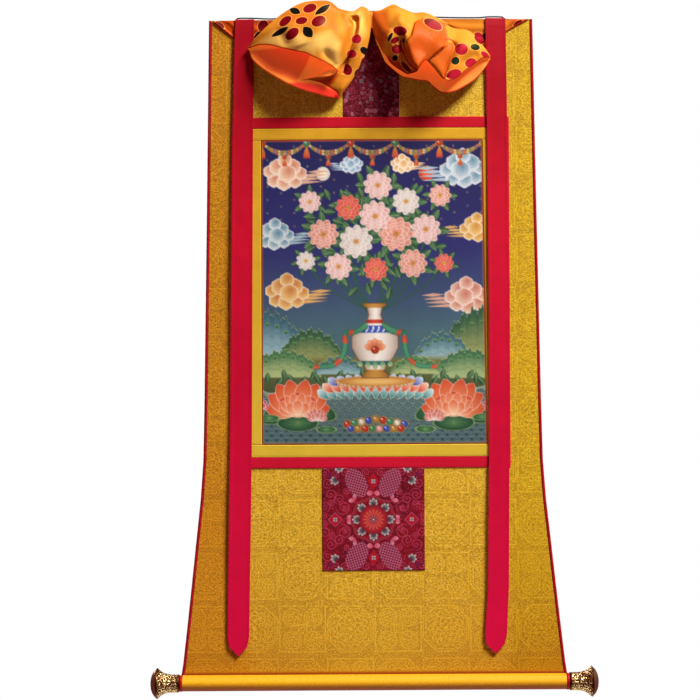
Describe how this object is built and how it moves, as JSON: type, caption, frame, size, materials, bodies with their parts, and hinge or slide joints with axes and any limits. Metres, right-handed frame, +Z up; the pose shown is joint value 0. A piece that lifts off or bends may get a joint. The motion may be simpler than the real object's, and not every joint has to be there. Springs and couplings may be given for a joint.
{
  "type": "thangka scroll painting",
  "caption": "Hanging scroll painting on a gold brocade mount with red and gold borders, hanging ribbons, a gathered silk cover and a rod with brass knobs.",
  "frame": {"origin": "middle of the brocade panel's top edge, at its front face beside the hem, where the scroll is hung", "axes": "+Z up towards the point it hangs from, front towards -Y, +X to the viewer's right"},
  "size_m": [0.609, 0.062, 0.9432],
  "materials": {
    "gold_brocade": "tone-on-tone gold damask, satin",
    "plain_gold_silk": "plain gold silk, satin",
    "red_silk": "plain red silk, satin",
    "red_piping": "dark red corded edging, satin",
    "red_brocade": "crimson brocade with silver and gold thread",
    "painted_canvas": "painted cotton canvas, matt",
    "ribbon_silk": "crimson ribbon, satin",
    "cover_silk": "printed orange silk, sheen",
    "black_cord": "thin twisted cord, matt",
    "rod_wood": "plain softwood",
    "knob_brass": "antique brass, cast relief"
  },
  "bodies": {
    "root": {"brocade_panel": "gold_brocade", "piping_left": "red_piping", "piping_right": "red_piping", "upper_brocade_patch": "red_brocade", "lower_brocade_patch": "red_brocade", "red_frame_top": "red_silk", "red_frame_bottom": "red_silk", "red_frame_left": "red_silk", "red_frame_right": "red_silk", "gold_frame_top": "plain_gold_silk", "gold_frame_bottom": "plain_gold_silk", "gold_frame_left": "plain_gold_silk", "gold_frame_right": "plain_gold_silk", "painting": "painted_canvas", "ribbon_left": "ribbon_silk", "ribbon_right": "ribbon_silk", "silk_cover": "cover_silk", "hanging_cord": "black_cord", "rod": "rod_wood", "knob_left": "knob_brass", "knob_right": "knob_brass"}
  },
  "joints": []
}
